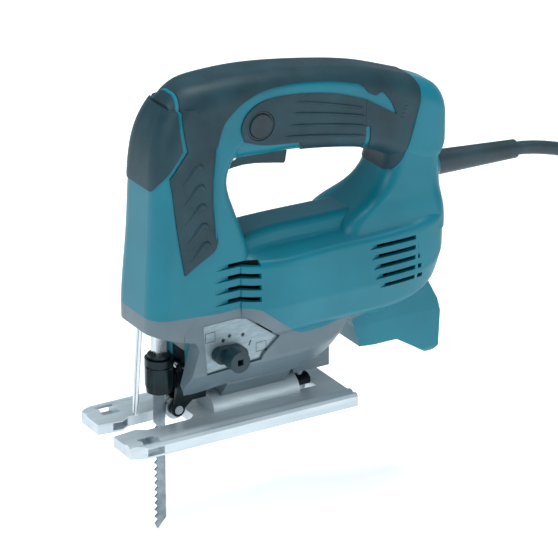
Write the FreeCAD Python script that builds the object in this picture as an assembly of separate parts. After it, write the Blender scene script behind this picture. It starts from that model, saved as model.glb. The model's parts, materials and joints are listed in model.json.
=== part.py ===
import FreeCAD
import Part
import math
import os
from FreeCAD import Vector, Placement, Rotation

os.makedirs("parts", exist_ok=True)

# A corded orbital jigsaw with a D handle. The blade line is the Z axis, the sole is z = 0,
# the blade's teeth face -X, the cord leaves at +X, and the orbit lever is on the -Y side.

# Base plate
base_front = 34.5
base_rear = 111.0
base_half_width = 32.5
floor_height = 6.3
rail_height = 7.5
tilt_height = 5.0
hump_radius = 10.5
hump_wall = 2.5
hump_start = 29.5
hump_end = 86.0
pocket_end = 98.0
notch_half_width = 10.5
notch_mouth_half_width = 8.0
notch_rear = 18.0
fence_slot_width = 10.5
fence_slot_height = 4.4
fence_slot_low = 1.2
base_slide_travel = 10.0

# Housing
body_half_width = 31.0
column_half_width = 22.5
body_front = 15.2
body_rear = 176.0
handle_top = 204.9
handle_half_width = 19.5
wall = 2.6
grip_proud = 0.8
grip_depth = 1.2
bond_line = 0.08
crisp_turn = math.radians(42)
crisp_radius = 0.4
soft_radius = 400.0
casting_bottom = 22.5
casting_half_width = 24.0
casting_wall = 3.5
panel_recess = 2.0

dust_port_x = 176.6
dust_port_length = 14.0
dust_port_radius = 10.0
dust_port_wall = 2.2
dust_port_height = 28.0

# Drive
motor_height = 78.0
gear_radius = 17.2
pinion_radius = 3.4
gear_gap = 0.3
gear_teeth = 48
pinion_teeth = 8
stroke = 26.0
plunger_x = 7.0
plunger_y = 6.0
plunger_bottom = 38.0
plunger_top = 131.0
guide_pivot = (8.5, 134.0)
fit_clearance = 0.05
core_radius = 17.0
stator_radius = 26.5
stator_front = 84.0
rear_bearing_x = 152.0
bearing_radius = 9.5
shaft_radius = 4.0

# Blade, clamp and roller
blade_front = 3.9
blade_back = 3.2
blade_thickness = 1.2
blade_tip = -62.3
tooth_pitch = 4.2
collar_radius = 8.3
collar_bottom = 23.2
collar_top = 45.0
roller_centre = (9.2, 11.0)
roller_radius = 6.6
roller_groove = 0.65
retainer_pivot = (12.0, 35.5)

# Controls
lever_shaft = (36.0, 46.0)
lever_tip = (25.5, 48.0)
knob_radius = 6.2
knob_reach = 14.5
lock_button = (54.5, 177.5)
lock_radius = 7.0
trigger_hinge = (41.4, 159.0)

# Cord
cord_diameter = 8.0
cord_exit = (176.0, 123.5)
guard_length = 60.0
guard_big = 14.8
guard_small = 11.0
cord_droop = 2.7
floor = -62.5

gear_height = motor_height + gear_radius + pinion_radius + gear_gap
crank_radius = stroke / 2
yoke_rest = gear_height - crank_radius


# Plain shapes
def box(x0, x1, y0, y1, z0, z1):
    return Part.makeBox(x1 - x0, y1 - y0, z1 - z0, Vector(x0, y0, z0))


def rod_x(x0, x1, radius, y=0.0, z=0.0):
    return Part.makeCylinder(radius, x1 - x0, Vector(x0, y, z), Vector(1, 0, 0))


def rod_y(y0, y1, radius, x=0.0, z=0.0):
    return Part.makeCylinder(radius, y1 - y0, Vector(x, y0, z), Vector(0, 1, 0))


def rod_z(z0, z1, radius, x=0.0, y=0.0):
    return Part.makeCylinder(radius, z1 - z0, Vector(x, y, z0), Vector(0, 0, 1))


def join(shapes):
    first, rest = shapes[0], shapes[1:]
    return first.fuse(rest).removeSplitter() if rest else first


def slab(points, y0, y1):
    """A side outline, as (x, z) points, made solid from y0 to y1."""
    wire = Part.makePolygon([Vector(x, y0, z) for x, z in points + points[:1]])
    return Part.Face(wire).extrude(Vector(0, y1 - y0, 0))


def rounded_wire(points, radii, place):
    """A closed outline of straight edges with an arc at each corner, in the plane that place gives."""
    count = len(points)
    starts, mids, ends = [], [], []
    for i in range(count):
        corner = Vector(points[i][0], points[i][1], 0)
        back = Vector(points[i - 1][0], points[i - 1][1], 0) - corner
        ahead = Vector(points[(i + 1) % count][0], points[(i + 1) % count][1], 0) - corner
        half = back.getAngle(ahead) / 2
        radius = min(radii[i], 0.45 * min(back.Length, ahead.Length) * math.tan(half))
        reach = radius / math.tan(half)
        back.normalize()
        ahead.normalize()
        middle = back + ahead
        middle.normalize()
        starts.append(corner + back * reach)
        ends.append(corner + ahead * reach)
        mids.append(corner + middle * (radius / math.sin(half) - radius))
    edges = []
    for i in range(count):
        a, m, b = (place(v.x, v.y) for v in (starts[i], mids[i], ends[i]))
        edges.append(Part.Arc(a, m, b).toShape())
        after = starts[(i + 1) % count]
        edges.append(Part.LineSegment(b, place(after.x, after.y)).toShape())
    return Part.Wire(edges)


def mirrored(half):
    """A whole outline from its +Y half, listed from the top to the bottom."""
    return [(y, z) for y, z in half] + [(-y, z) for y, z in reversed(half)]


def cross_section(x, half, radii):
    points = mirrored(half)
    return rounded_wire(points, radii + radii[::-1], lambda a, b: Vector(x, a, b))


def plan_section(z, x0, x1, half_width, front_radius, rear_radius):
    points = [(x0, -half_width), (x1, -half_width), (x1, half_width), (x0, half_width)]
    radii = [front_radius, rear_radius, rear_radius, front_radius]
    return rounded_wire(points, radii, lambda a, b: Vector(a, b, z))


def loft(wires):
    return Part.makeLoft(wires, True, False)


# The outer form, or with an inset the space inside its wall
def column(inset=0.0):
    w = column_half_width
    rows = [
        (56.0, -body_front - 0.4, 46, w - 0.5),
        (78.0, -body_front - 0.6, 50, w),
        (98.0, 0.8 - body_front, 50, w - 0.2),
        (118.0, 2.4 - body_front, 44, w - 0.8),
        (135.0, 3.2 - body_front, 38, w - 1.2),
        (152.0, 4.0 - body_front, 36, w - 1.6),
        (170.0, 5.8 - body_front, 48, w - 2.4),
        (183.0, 9.5 - body_front, 60, w - 3.6),
        (193.0, 15.5 - body_front, 70, w - 5.6),
    ]
    wires = []
    for z, x0, x1, half in rows:
        height = z + inset if z == rows[0][0] else z - inset if z == rows[-1][0] else z
        wires.append(plan_section(height, x0 + inset, x1 - inset, half - inset, 11 - inset, 8 - inset))
    return loft(wires)


def handle(inset=0.0):
    top = handle_top
    w = handle_half_width
    rows = [
        (3.0, 176, top - 9.5, w - 6.5),
        (9.0, 170, top - 4.0, w - 4.0),
        (18.0, 162, top - 1.0, w - 1.5),
        (32.0, 158.5, top, w - 0.3),
        (50.0, 157.3, top, w),
        (80.0, 155.6, top - 2.8, w),
        (110.0, 151.0, top - 7.6, w - 0.5),
        (130.0, 146.0, top - 12.2, w - 0.5),
        (152.0, 135.0, top - 19.6, w - 1.0),
        (168.0, 128.0, top - 25.6, w - 1.5),
        (178.0, 134.0, top - 32.0, w - 4.0),
    ]
    wires = []
    for x, z0, z1, half in rows:
        at = x + inset if x == rows[0][0] else x - inset if x == rows[-1][0] else x
        outline = [(half - inset, z1 - inset), (half - inset, z0 + inset)]
        wires.append(cross_section(at, outline, [13.0 - inset, 11.0 - inset]))
    return loft(wires)


def rear_column(inset=0.0):
    rows = [
        (94.0, 108, 175.5, 26.0),
        (104.0, 108, 176.3, 24.5),
        (110.0, 114, 176.3, 22.5),
        (117.0, 127, 176.3, 19.5),
        (126.0, 137, 176.6, 18.0),
        (140.0, 142, 176.2, 17.6),
        (156.0, 138, 178.2, 17.6),
        (167.0, 134, 179.4, 16.5),
    ]
    wires = []
    for z, x0, x1, half in rows:
        height = z + inset if z == rows[0][0] else z - inset if z == rows[-1][0] else z
        wires.append(plan_section(height, x0 + inset, x1 - inset, half - inset, 9 - inset, 9 - inset))
    return loft(wires)


def trunk(inset=0.0):
    """The motor case, with a ridge along each side and a neck above it."""
    w = body_half_width
    rows = [
        (40.0, (15, 109), (18, 104), (w - 8.0, 98), (w - 7.5, 72), (w - 8, 56), (15, 48)),
        (48.0, (14, 111), (18, 104), (w - 3.0, 99), (w - 2.5, 72), (w - 5, 56), (15, 48)),
        (56.0, (13, 112), (17, 104), (w - 0.5, 99), (w, 72), (w - 4, 55), (15, 46)),
        (90.0, (12, 112.5), (16.5, 104), (w - 0.5, 99), (w + 0.5, 72), (w - 4, 55), (15, 46)),
        (130.0, (12, 113), (17, 104), (w - 0.5, 99), (w + 0.5, 72), (w - 4, 55), (15, 46)),
        (155.0, (14, 116), (19, 106), (w - 1.5, 100), (w - 2.0, 73), (w - 6, 58), (14, 51)),
        (167.0, (14, 118), (19, 110), (w - 4.5, 101), (w - 5.0, 77), (w - 10, 64), (12, 58)),
        (body_rear - 2, (11, 118), (15, 111), (w - 10, 102), (w - 11, 83), (w - 16, 73), (9, 67)),
    ]
    wires = []
    for row in rows:
        x = row[0]
        at = x + inset if x == rows[0][0] else x - inset if x == rows[-1][0] else x
        half = [(row[1][0] - inset, row[1][1] - inset)]
        half += [(y - inset, z) for y, z in row[2:6]]
        half += [(row[6][0] - inset, row[6][1] + inset)]
        wires.append(cross_section(at, half, [6.0, 4.0, 5.0, 8.0, 6.0, 5.0]))
    return loft(wires)


def casting_form(inset=0.0):
    """The gearbox casting below the motor case, narrow at the bottom so that the base can tilt."""
    w = casting_half_width
    z = casting_bottom
    rows = [
        (4.0, z, z + 5.5, z + 15.5, w - 1.5),
        (20.0, z, z + 5.5, z + 15.5, w),
        (70.0, z, z + 5.5, z + 15.5, w),
        (90.0, z + 1.5, z + 7.0, z + 16.5, w - 0.5),
        (105.0, z + 8.0, z + 12.0, z + 20.0, w - 3.0),
        (116.0, z + 19.0, z + 22.0, z + 27.0, w - 8.0),
    ]
    wires = []
    for x, z0, z1, z2, half in rows:
        at = x + inset if x == rows[0][0] else x - inset if x == rows[-1][0] else x
        outline = [(half - 2 - inset, 79.0), (half - inset, 62.0), (half - inset, z2)]
        outline += [(half - 6.5 - inset, z1), (half - 11.0 - inset, z0 + inset)]
        wires.append(cross_section(at, outline, [6.0, 8.0, 6.0, 4.0, 3.0]))
    return loft(wires)


duct_outline = [
    (112, 56), (119, 40), (123, 27), (133, 26), (148, 26), (160, 18.5), (169, 12.5), (173.5, 12),
    (177, 15.5), (177, 38), (175, 46), (169, 58), (150, 64), (120, 64),
]


def duct_form(inset=0.0):
    """The dust duct that hangs below the rear of the motor case."""
    half = 15.0 - inset
    outline = [(half - 1, 66), (half, 40), (half - 2, 11 + inset)]
    pillar = loft([cross_section(x, outline, [5.0, 9.0, 6.0]) for x in (108 + inset, 178 - inset)])
    middle_x = sum(x for x, z in duct_outline) / len(duct_outline)
    middle_z = sum(z for x, z in duct_outline) / len(duct_outline)
    points = []
    for x, z in duct_outline:
        away = math.hypot(x - middle_x, z - middle_z)
        share = 1 - inset / away
        points.append((middle_x + (x - middle_x) * share, middle_z + (z - middle_z) * share))
    return pillar.common(slab(points, -20, 20))


def outer_form(inset=0.0):
    forms = (column, trunk, casting_form, handle, rear_column, duct_form)
    shape = forms[0](inset)
    for form in forms[1:]:
        shape = shape.fuse(form(inset))
    return shape


casting_region = slab([
    (-40, 77.2), (-2, 74.5), (26, 72.5), (45, 72.8), (50, 71.2), (73, 52.6), (78, 49.8),
    (95, 49.8), (121, 53.5), (114.5, 36), (109.5, 30.5), (109.5, 10), (-40, 10),
], -60, 60)

holder_room = box(3.6 - body_front, 12.5, -13, 13, 15, 72.6)
below_brow = slab([
    (-40, 15), (8, 15), (8, 24.5), (6, 30), (12.6, 53), (10.4, 58.2), (2, 60.2),
    (-13, 65.5), (-40, 71),
], -60, 60)
retainer_slot = box(8, 28, -6.8, 6.8, 10, 47)

# Overmoulded grips: side outlines that cut a recess in the housing, filled with elastomer
grip_outline = [
    (6.0, 190.5), (6.6, 181), (8.2, 171.4), (-3.6, 157.8), (-2.2, 147.4), (-0.6, 132.8), (1.5, 117.4),
    (4.4, 99.6), (13.4, 105.2), (23.6, 110.2), (25.8, 115), (23.7, 137), (24.1, 152), (26.6, 171),
    (31.6, 184), (43.5, 193.8), (58.5, 197.8), (80.5, 197.6), (105.8, 193.3), (121.2, 188.4), (125.2, 182.4),
    (129.2, 180.6), (133.8, 182.2), (139.6, 175.6), (143.4, 166.4), (136.5, 170.9), (123.1, 179.3),
    (123, 172), (123, 130), (140.5, 131.5), (146.6, 136), (150.6, 145), (155.8, 161), (161.0, 179.5),
    (158, 186), (158, 215), (10.5, 215), (9.4, 202.5),
]
pad_outline = [
    (41.6, 176.5), (44.4, 185), (52.5, 191), (64.5, 192.6), (80, 191.6), (101.8, 187.7), (122.9, 179.4),
    (122.9, 140), (90, 140), (80, 162.5), (56, 165.4), (44.6, 169.6),
]
nose_outline = [
    (-40, 150), (-11.6, 150), (-9.0, 155.0), (-5.6, 158.8), (5.0, 172.2), (3.7, 183), (4.3, 193),
    (7.4, 201.5), (7.8, 230), (-40, 230),
]


def soft_slab(outline, y0, y1):
    """A slab whose gentle corners are long arcs and whose sharp corners stay crisp."""
    radii = []
    for i, (x, z) in enumerate(outline):
        before = Vector(x - outline[i - 1][0], z - outline[i - 1][1], 0)
        after = Vector(*outline[(i + 1) % len(outline)], 0) - Vector(x, z, 0)
        radii.append(crisp_radius if before.getAngle(after) > crisp_turn else soft_radius)
    wire = rounded_wire(outline, radii, lambda x, z: Vector(x, y0, z))
    return Part.Face(wire).extrude(Vector(0, y1 - y0, 0))


def grip_set(depth):
    """The grips, from just proud of the housing down to a depth inside it."""
    skin = outer_form(-grip_proud).cut(outer_form(depth))
    found = {}
    for name, outline in (("grip", grip_outline), ("side_pad", pad_outline), ("nose_pad", nose_outline)):
        whole = skin.common(soft_slab(outline, -60, 60))
        if name == "side_pad":
            whole = whole.cut(box(0, 200, -14.5, 14.5, 100, 210))
        else:
            whole = whole.cut(box(30, 126, -30, 30, 100, 163))
        found[name] = whole
    return found


def half_of(shape, side):
    keep = box(-60, 260, -60, 0, -20, 260) if side == "left" else box(-60, 260, 0, 60, -20, 260)
    solids = [s for s in shape.common(keep).Solids if s.Volume > 60]
    return solids[0] if len(solids) == 1 else Part.makeCompound(solids)


outer = outer_form()
inner = outer_form(wall)
grips = grip_set(grip_depth)
pockets = grip_set(grip_depth + bond_line)

# Screws go in from +Y, head first: x, z and the height of the head's seat
housing_screws = [(6, 188, 10), (163, 165, 11), (167, 104, 14), (68, 108.5, 8), (153, 32, 9), (27, 150, 14)]
screw_radius = 2.0
boss_radius = 3.6
head_radius = 3.6


# Each slot: front end, rear end, low edge, high edge, half width at the wall, length of its ramp
vent_slots = [
    (125 + 1.3 * i, 151 + 1.2 * i, 93.2 - 6.1 * i, 95.8 - 6.1 * i, 30.6 + 0.2 * i, 6.0) for i in range(5)]
vent_slots += [(33, 49.7, 97.8 - 7.0 * i, 100.8 - 7.0 * i, 22.4, 9.5) for i in range(4)]
ramp_depth = 2.0


def vents():
    return Part.makeCompound([
        box(x0, x1, -60, 60, low, high) for x0, x1, low, high, side, ramp in vent_slots])


def vent_ramps():
    """Sloping floors that lead into each slot from the front."""
    cuts = []
    for x0, x1, low, high, side, ramp in vent_slots:
        for s in (-1, 1):
            corners = [
                (x0 - ramp, side), (x0 + 0.1, side - ramp_depth), (x0 + 0.1, side + 3), (x0 - ramp, side + 3)]
            points = [Vector(x, s * y, low) for x, y in corners + corners[:1]]
            cuts.append(Part.Face(Part.makePolygon(points)).extrude(Vector(0, 0, high - low)))
    return Part.makeCompound(cuts)


def louvres(y0, y1):
    """The vents' slots, cut only through the walls on each side."""
    both = [box(20, 180, -60, -y0, 60, 110), box(20, 180, y0, 60, 60, 110)]
    return vents().common(both[0].fuse(both[1]))


def housing_body():
    shape = outer.cut(casting_region).cut(inner)
    shape = shape.cut(louvres(19.5, 60)).cut(vent_ramps())
    bosses = [rod_y(-60, 60, boss_radius, x, z) for x, z, seat in housing_screws]
    bosses += [rod_y(seat - 2.5, 60, head_radius + 1.7, x, z) for x, z, seat in housing_screws]
    seat_x = rear_bearing_x
    stator_hole = stator_radius + 0.1
    ribs = []
    for x, hole in ((stator_front + 8, stator_hole), (stator_front + 32, stator_hole), (seat_x - 1.8, 8.0)):
        plate = outer.common(box(x, x + 1.8, -60, 60, 46, 108))
        ribs.append(plate.cut(rod_x(x - 1, x + 3, hole, 0, motor_height)))
    ribs.append(ring_x(seat_x, seat_x + 8, bearing_radius + 2.5, bearing_radius, motor_height))
    ribs.append(box(seat_x, seat_x + 1.0, -30, 30, 60, 66).common(outer))
    ribs += [rod_y(s * 12.6 - 4.2, s * 12.6 + 4.2, 3.4, *trigger_hinge) for s in (-1, 1)]
    shape = shape.fuse([b.common(outer).cut(casting_region) for b in bosses + ribs])
    for pocket in pockets.values():
        shape = shape.cut(pocket)
    shape = shape.cut(rod_y(-13, 13, 1.5, *trigger_hinge))
    for x, z, seat in housing_screws:
        shape = shape.cut(rod_y(-8, seat, screw_radius + fit_clearance, x, z))
        shape = shape.cut(rod_y(seat, 60, head_radius + 0.3, x, z))
    guard_axis = Vector(cord_exit[0], 0, cord_exit[1])
    socket = Part.makeCylinder(11.0, 6.5, guard_axis + Vector(-5, 0, 0), Vector(1, 0, 0))
    socket = socket.fuse(Part.makeCone(11.0, 9.2, 2.0, guard_axis + Vector(1.5, 0, 0), Vector(1, 0, 0)))
    shape = shape.fuse(socket)
    tunnel_radius = guard_big / 2 + fit_clearance
    tunnel = Part.makeCylinder(tunnel_radius, 12, guard_axis + Vector(-7, 0, 0), Vector(1, 0, 0))
    shape = shape.cut(tunnel)
    # Trigger well, lock button hole and dust port
    shape = shape.cut(box(38.5, 79.5, -8.4, 8.4, 140, 161.5))
    shape = shape.cut(rod_y(-60, 60, lock_radius + 1.6, *lock_button))
    port_seat = dust_port_radius + dust_port_wall
    shape = shape.cut(rod_x(dust_port_x - dust_port_length, 190, port_seat, 0, dust_port_height))
    return shape


def inner_casting_room():
    return loft([
        cross_section(x, [(17, 71), (17, 42 + rise), (9, 28 + rise)], [3.0, 6.0, 4.0])
        for x, rise in ((22.0, 0), (80.0, 1), (106.0, 12))
    ])


def casting_body():
    shape = outer.common(casting_region).cut(below_brow).cut(holder_room)
    shape = shape.cut(inner_casting_room()).cut(inner.common(box(50, 130, -30, 30, 50, 80)))
    shape = shape.cut(retainer_slot)
    # The upper box, which carries the crank gear and the plunger guide
    case = column(wall + 0.1).common(box(-40, 25, -30, 30, 70, 121))
    room = column(wall + 1.5).common(box(-40, 23, -30, 30, 72.5, 119.2))
    case = case.cut(room).cut(box(6.4 - body_front, 14, -11, 11, 110, 125))
    case = case.fuse([box(3, 14.5, s * 11.2 - 2, s * 11.2 + 2, 119, 140) for s in (-1, 1)])
    case = case.cut(rod_y(-20, 20, 2.5 + fit_clearance, *guide_pivot))
    shape = shape.fuse(case)
    shape = shape.cut(box(4.2 - body_front, 12.5, -13, 13, 60, 80))
    seat = ring_x(25, 33, bearing_radius + 2.4, bearing_radius, motor_height)
    shape = shape.cut(rod_x(25, 34, bearing_radius + 1, 0, motor_height)).fuse(seat)
    shape = shape.cut(wire_guard()).cut(front_shroud())
    # Bores: gear axle, armature shaft, orbit shaft, retainer pin and the screws of the upper box
    shape = shape.cut(rod_x(15, 30, 4.0 + fit_clearance, 0, gear_height))
    shape = shape.cut(rod_x(15, 30, shaft_radius + 1.0, 0, motor_height))
    shape = shape.cut(rod_y(-30, 30, 3.0 + fit_clearance, *lever_shaft))
    shape = shape.cut(rod_y(-11.5, 11.5, 2.0 + fit_clearance, *retainer_pivot))
    # Saddle for the base
    saddle = slab([(36, 12), (78, 12), (78, 26), (36, 26)], -14, 14)
    wedge = Part.Face(Part.makePolygon([Vector(36, y, z) for y, z in (
        (-6.2, 10), (6.2, 10), (6.2, 13.5), (13, 22.8), (13, 26),
        (-13, 26), (-13, 22.8), (-6.2, 13.5), (-6.2, 10))]))
    saddle = saddle.common(wedge.extrude(Vector(42, 0, 0)))
    shape = shape.fuse(saddle).cut(rod_x(30, 90, hump_radius + fit_clearance, 0, tilt_height))
    pad = box(clamp_x - 7, clamp_x + base_slide_travel + 7, -6.0, 6.0, 16.3, 30).cut(inner_casting_room())
    run = 2.5 + fit_clearance
    shape = shape.fuse(pad)
    for x in (clamp_x, clamp_x + base_slide_travel):
        shape = shape.cut(rod_z(10, 34, run, x))
    shape = shape.cut(box(clamp_x, clamp_x + base_slide_travel, -run, run, 10, 34))
    shape = shape.cut(panel_shape(panel_recess, 60).fuse(panel_shape(0.0, 60).cut(outer)))
    return shape


clamp_x = 90.7
panel_points = [(15, 67.5), (38, 67.8), (44, 66.5), (64.5, 51), (54, 42), (52.5, 39), (17.5, 37)]


def panel_shape(depth, reach):
    return slab(panel_points, -reach, depth - casting_half_width)


# Base plate
def base_plate():
    x0, x1, w = -base_front, base_rear, base_half_width
    half = [
        (w, 0), (w, 6.0), (w - 1.4, rail_height), (w - 3.2, rail_height),
        (w - 4.2, rail_height - 0.9), (w - 5.4, rail_height - 0.9), (w - 6.6, rail_height),
        (w - 9.4, rail_height), (w - 11.0, floor_height),
    ]
    points = [(-y, z) for y, z in half] + [(y, z) for y, z in reversed(half)]
    face = Part.Face(Part.makePolygon([Vector(x0, y, z) for y, z in points + points[:1]]))
    plate = face.extrude(Vector(x1 - x0, 0, 0))
    for s in (-1, 1):
        corner = Part.makePolygon([Vector(x, s * y, -1) for x, y in (
            (x0 - 1, w - 4.5), (x0 - 1, w + 1), (x0 + 12, w + 1), (x0 - 1, w - 4.5))])
        plate = plate.cut(Part.Face(corner).extrude(Vector(0, 0, 20)))
    # The hump that the saddle holds
    hump = rod_x(hump_start, hump_end, hump_radius, 0, tilt_height)
    plate = plate.fuse(hump.common(box(0, 120, -20, 20, 0.5, 30)))
    inside = hump_radius - hump_wall
    pocket = rod_x(hump_start + 4, pocket_end, inside, 0, tilt_height)
    pocket = pocket.fuse(box(hump_start + 4, pocket_end, -inside, inside, -1, tilt_height))
    plate = plate.cut(pocket)
    # Blade notch
    notch = [
        (x0 - 1, notch_mouth_half_width + 1), (-20, notch_mouth_half_width - 1), (-14, notch_half_width),
        (notch_rear - 4, notch_half_width), (notch_rear, notch_half_width - 4),
    ]
    notch = notch + [(x, -y) for x, y in reversed(notch)]
    wire = Part.makePolygon([Vector(x, y, -1) for x, y in notch + notch[:1]])
    plate = plate.cut(Part.Face(wire).extrude(Vector(0, 0, 20)))
    # Rip fence slots across the horns, under a window in each top
    slot_end = -25.5 + fence_slot_width
    plate = plate.cut(box(-25.5, slot_end, -60, 60, fence_slot_low, fence_slot_low + fence_slot_height))
    for s in (-1, 1):
        plate = plate.cut(box(-25.5, slot_end, s * 23.5 - 5, s * 23.5 + 5, fence_slot_low, 12))
    return plate


def clamp_plate():
    sector = rod_x(40, clamp_x + 5, hump_radius - hump_wall - 0.1, 0, tilt_height)
    sector = sector.common(box(0, 100, -5.5, 5.5, tilt_height + 2.5, 20))
    return sector.cut(rod_z(0, 20, 2.5 + fit_clearance, clamp_x))


def clamp_bolt():
    bolt = rod_z(tilt_height + 2.5 - 4.0, tilt_height + 2.5, 4.2, clamp_x).fuse(
        rod_z(tilt_height + 2.4, 31, 2.5, clamp_x))
    key = Part.Face(Part.makePolygon([
        Vector(clamp_x + 2.3 * math.cos(k * math.pi / 3), 2.3 * math.sin(k * math.pi / 3), tilt_height - 2)
        for k in range(7)])).extrude(Vector(0, 0, 3.0))
    return bolt.cut(key)


# Drive
def gear_disc(radius, teeth, x0, x1, z, tooth):
    """A gear blank with straight-sided teeth."""
    points = []
    for k in range(teeth):
        for turn, r in ((0.0, radius - tooth), (0.28, radius), (0.5, radius), (0.78, radius - tooth)):
            a = 2 * math.pi * (k + turn) / teeth
            points.append(Vector(x0, r * math.sin(a), z + r * math.cos(a)))
    return Part.Face(Part.makePolygon(points + points[:1])).extrude(Vector(x1 - x0, 0, 0))


def crank_gear():
    gear = gear_disc(gear_radius, gear_teeth, 13.5, 20.0, gear_height, 1.2)
    hub = rod_x(20.0, 22.0, 6.5, 0, gear_height)
    weight = rod_x(12.6, 13.5, 14.0, 0, gear_height).common(box(0, 30, -20, 20, gear_height + 2, 130))
    return gear.fuse([hub, weight]).cut(rod_x(15.5, 30, 4.0 + fit_clearance, 0, gear_height))


def armature_shaft():
    shaft = rod_x(20.5, 163, shaft_radius, 0, motor_height)
    pinion = gear_disc(pinion_radius, pinion_teeth, 12.8, 20.5, motor_height, 1.0)
    return shaft.fuse(pinion)


def armature_core():
    core = rod_x(86, 124, core_radius, 0, motor_height)
    slots = []
    for k in range(12):
        a = 2 * math.pi * k / 12
        slots.append(rod_x(85, 125, 1.6, 15.6 * math.sin(a), motor_height + 15.6 * math.cos(a)))
    return core.cut(Part.makeCompound(slots)).cut(rod_x(80, 130, shaft_radius, 0, motor_height))


def cooling_fan():
    disc = rod_x(62, 64, 22.5, 0, motor_height).fuse(rod_x(62, 76, 6.5, 0, motor_height))
    blades = []
    for k in range(13):
        blade = box(64, 74, -0.7, 0.7, 9, 22)
        blade.translate(Vector(0, 0, motor_height))
        blade.rotate(Vector(0, 0, motor_height), Vector(1, 0, 0), 360 * k / 13)
        blades.append(blade)
    return disc.fuse(blades).cut(rod_x(60, 80, shaft_radius, 0, motor_height))


def stator_core():
    ring = rod_x(84, 126, stator_radius, 0, motor_height).common(box(80, 130, -23.5, 23.5, 50, 110))
    return ring.cut(rod_x(80, 130, core_radius + 0.6, 0, motor_height)).cut(
        box(80, 130, -24, -19.5, 68, 88)).cut(box(80, 130, 19.5, 24, 68, 88))


def field_coils():
    coils = []
    for s in (-1, 1):
        ring = box(80.5, 129.5, -15, 15, 0, 5.2).cut(box(84, 126, -30, 30, -1, 6))
        ring.translate(Vector(0, 0, motor_height + (19.5 if s > 0 else -24.7)))
        coils.extend(ring.Solids)
    return Part.makeCompound(coils)


def ring_x(x0, x1, outside, inside, z):
    return rod_x(x0, x1, outside, 0, z).cut(rod_x(x0 - 1, x1 + 1, inside, 0, z))


def fan_baffle():
    return ring_x(79, 80, 25.0, 10.0, motor_height)


def commutator():
    copper = ring_x(132, 144, 10.0, shaft_radius, motor_height)
    cuts = []
    for k in range(24):
        cut = box(131, 145, -0.25, 0.25, motor_height + 9.2, motor_height + 11)
        cut.rotate(Vector(0, 0, motor_height), Vector(1, 0, 0), 15 * k)
        cuts.append(cut)
    return copper.cut(Part.makeCompound(cuts))


def brush_holders():
    holders = []
    for s in (-1, 1):
        y = s * 18.5
        tube = box(134, 142, y - 7, y + 7, motor_height - 5, motor_height + 5)
        holders.append(tube.cut(box(136, 140, y - 8, y + 8, motor_height - 3.2, motor_height + 3.2)))
    return Part.makeCompound(holders)


def carbon_brushes():
    brushes = []
    for s in (-1, 1):
        y0, y1 = (10.3, 21.0) if s > 0 else (-21.0, -10.3)
        brushes.append(box(136.05, 139.95, y0, y1, motor_height - 3.15, motor_height + 3.15))
    return Part.makeCompound(brushes)


# Plunger, its guide, and the blade clamp
def plunger():
    rod = box(-plunger_x / 2, plunger_x / 2, -plunger_y / 2, plunger_y / 2, plunger_bottom, plunger_top)
    return rod.cut(rod_y(-5, 5, 1.5, 0, plunger_bottom + 4))


def yoke():
    half = 16.4
    x0 = plunger_x / 2
    plate = box(x0, x0 + 6.6, -half, half, yoke_rest - 4, yoke_rest + 4)
    slot = box(x0 + 2, x0 + 8, 2.4 - half, half - 2.4, yoke_rest - 2.3, yoke_rest + 2.3)
    return plate.cut(slot)


def plunger_guide():
    spine = box(-7.8, -5.4, -9, 9, 73, 128)
    lower = box(-7.8, 6.0, -8, 8, 73, 81)
    upper = box(-7.8, 13.0, -8, 8, 118.4, 138)
    shape = spine.fuse([lower, upper]).cut(box(-5.4, 5.0, -4.9, 4.9, 70, 140))
    shape = shape.cut(box(3.4, 14, -9, 9, 118, 118.4))
    return shape.cut(rod_y(-10, 10, 2.5 + fit_clearance, *guide_pivot))


def guide_bushes():
    hole = box(-plunger_x / 2 - fit_clearance, plunger_x / 2 + fit_clearance,
               -plunger_y / 2 - fit_clearance, plunger_y / 2 + fit_clearance, 60, 140)
    bushes = [box(-5.4, 5.0, -4.9, 4.9, z, z + 8).cut(hole) for z in (73, 119)]
    return Part.makeCompound(bushes)


def clamp_body():
    body = rod_z(collar_bottom - 0.6, collar_top - 1.2, 5.6)
    body = body.fuse(rod_z(collar_top - 1.2, collar_top + 1.0, 6.6))
    body = body.cut(box(-plunger_x / 2, plunger_x / 2, -plunger_y / 2, plunger_y / 2, plunger_bottom, 60))
    return body.cut(box(-blade_front - 0.1, blade_back + 0.1, -blade_thickness / 2 - 0.05,
                        blade_thickness / 2 + 0.05, 20, 34))


def blade_collar():
    z0, z1 = collar_bottom, collar_top - 1.3
    ring = rod_z(z0 + 3.0, z1, collar_radius).fuse(rod_z(z0, z0 + 3.0, collar_radius - 0.8))
    groove = rod_z(z1 - 5.0, z1 - 4.0, collar_radius + 1).cut(rod_z(z1 - 6, z1, collar_radius - 0.7))
    ring = ring.cut(groove)
    for k in range(8):
        flat = box(collar_radius - 0.45, collar_radius + 1, -2.2, 2.2, z0 + 3.0, z1 - 5.0)
        flat.rotate(Vector(0, 0, 0), Vector(0, 0, 1), 45 * k + 22.5)
        ring = ring.cut(flat)
    return ring.cut(rod_z(10, 60, 5.6 + 0.06))


def saw_blade():
    """The blade's side outline: a shank, a shoulder, teeth along the front and an angled tip."""
    root = tooth_gullet - blade_front
    points = [(-blade_front, 22.0), (-blade_front, 4.0)]
    z = 4.0
    while z - tooth_pitch > blade_tip + 0.6:
        points += [(root, z - 0.35 * tooth_pitch), (root + 0.2, z - 0.6 * tooth_pitch)]
        points.append((-blade_front, z - tooth_pitch))
        z -= tooth_pitch
    points += [(-blade_front + 1.6, blade_tip), (blade_back, blade_tip + 6.0), (blade_back, 22.0)]
    points += [(2.6, 24.0), (2.6, 33.6), (-2.6, 33.6), (-2.6, 24.0)]
    return slab(points, -blade_thickness / 2, blade_thickness / 2)


tooth_gullet = 1.7


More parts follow.
